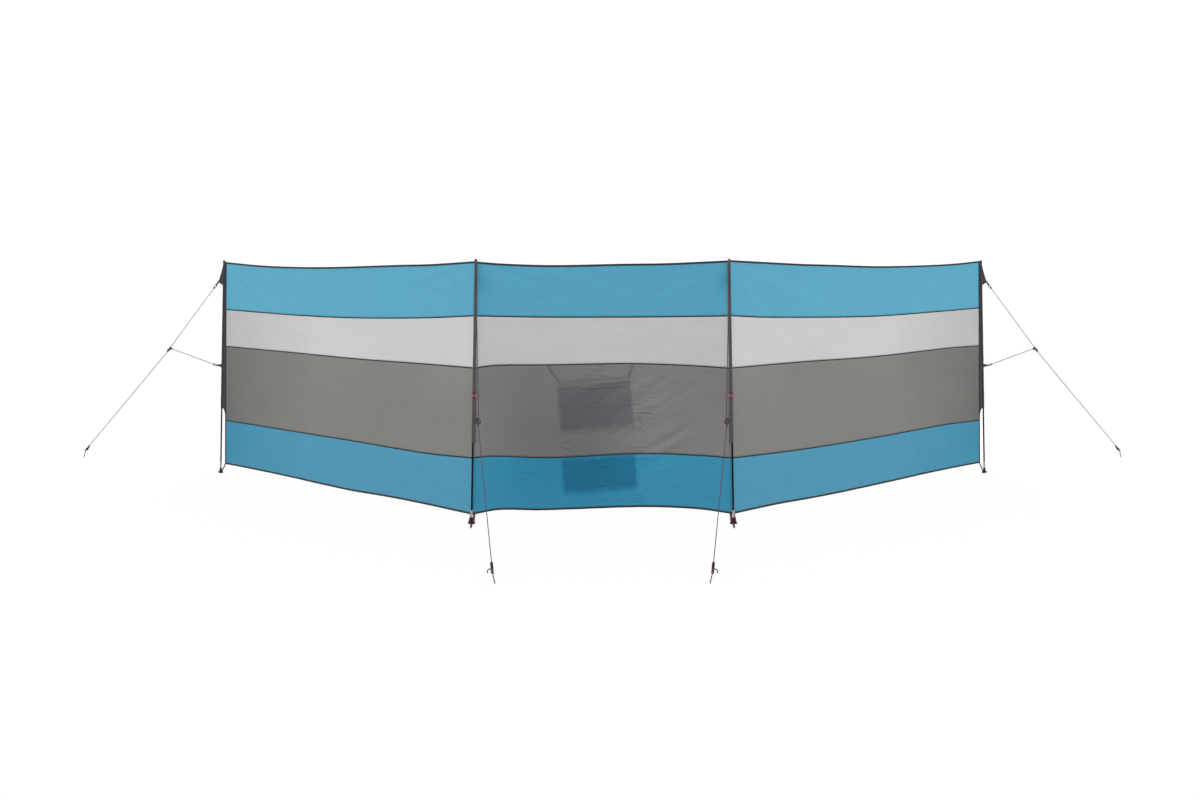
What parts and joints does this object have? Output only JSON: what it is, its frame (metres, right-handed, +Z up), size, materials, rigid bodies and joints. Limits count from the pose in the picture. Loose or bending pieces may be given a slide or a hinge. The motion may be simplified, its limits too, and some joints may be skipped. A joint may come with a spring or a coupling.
{
  "type": "beach windbreak",
  "caption": "Free-standing striped cloth windbreak in bays on sleeved poles, with guy lines, pegs, pole feet and a hanging pocket organiser.",
  "frame": {"origin": "on the ground at the centre of the footprint covered by feet and guy pegs", "axes": "+X to the right along the middle bay, +Y to the sheltered side behind it, +Z up"},
  "size_m": [7.8102, 3.1501, 1.4802],
  "materials": {
    "blue_cloth": "woven polyester",
    "light_grey_cloth": "woven polyester",
    "dark_grey_cloth": "woven polyester",
    "binding": "woven tape",
    "sleeve_cloth": "woven polyester",
    "pocket_cloth": "woven polyester",
    "pole": "glass fibre rod",
    "black_plastic": "moulded",
    "ring_plastic": "moulded",
    "ferrule": "brushed",
    "peg_steel": "drawn wire",
    "rope": "braided cord",
    "red_webbing": "woven webbing"
  },
  "bodies": {
    "root": {"left_bay_bottom_blue": "blue_cloth", "left_bay_dark_grey": "dark_grey_cloth", "left_bay_light_grey": "light_grey_cloth", "left_bay_top_blue": "blue_cloth", "left_bay_bindings": "binding", "middle_bay_bottom_blue": "blue_cloth", "middle_bay_dark_grey": "dark_grey_cloth", "middle_bay_light_grey": "light_grey_cloth", "middle_bay_top_blue": "blue_cloth", "middle_bay_bindings": "binding", "right_bay_bottom_blue": "blue_cloth", "right_bay_dark_grey": "dark_grey_cloth", "right_bay_light_grey": "light_grey_cloth", "right_bay_top_blue": "blue_cloth", "right_bay_bindings": "binding", "left_front_pole": "pole", "left_front_sleeve": "sleeve_cloth", "left_front_foot": "black_plastic", "left_front_gusset": "sleeve_cloth", "left_front_guy_line": "rope", "left_end_pole": "pole", "left_end_sleeve": "sleeve_cloth", "left_end_foot": "black_plastic", "left_end_gusset": "sleeve_cloth", "left_end_guy_line": "rope", "right_front_pole": "pole", "right_front_sleeve": "sleeve_cloth", "right_front_foot": "black_plastic", "right_front_gusset": "sleeve_cloth", "right_front_guy_line": "rope", "right_end_pole": "pole", "right_end_sleeve": "sleeve_cloth", "right_end_foot": "black_plastic", "right_end_gusset": "sleeve_cloth", "right_end_guy_line": "rope", "pole_caps": "black_plastic", "pole_ferrules": "ferrule", "mid_tabs": "sleeve_cloth", "guy_rings": "ring_plastic", "guy_tensioners": "black_plastic", "guy_pegs": "peg_steel", "foot_straps": "red_webbing", "organiser_upper_pocket": "pocket_cloth", "organiser_lower_pocket": "pocket_cloth", "organiser_straps": "binding"}
  },
  "joints": []
}
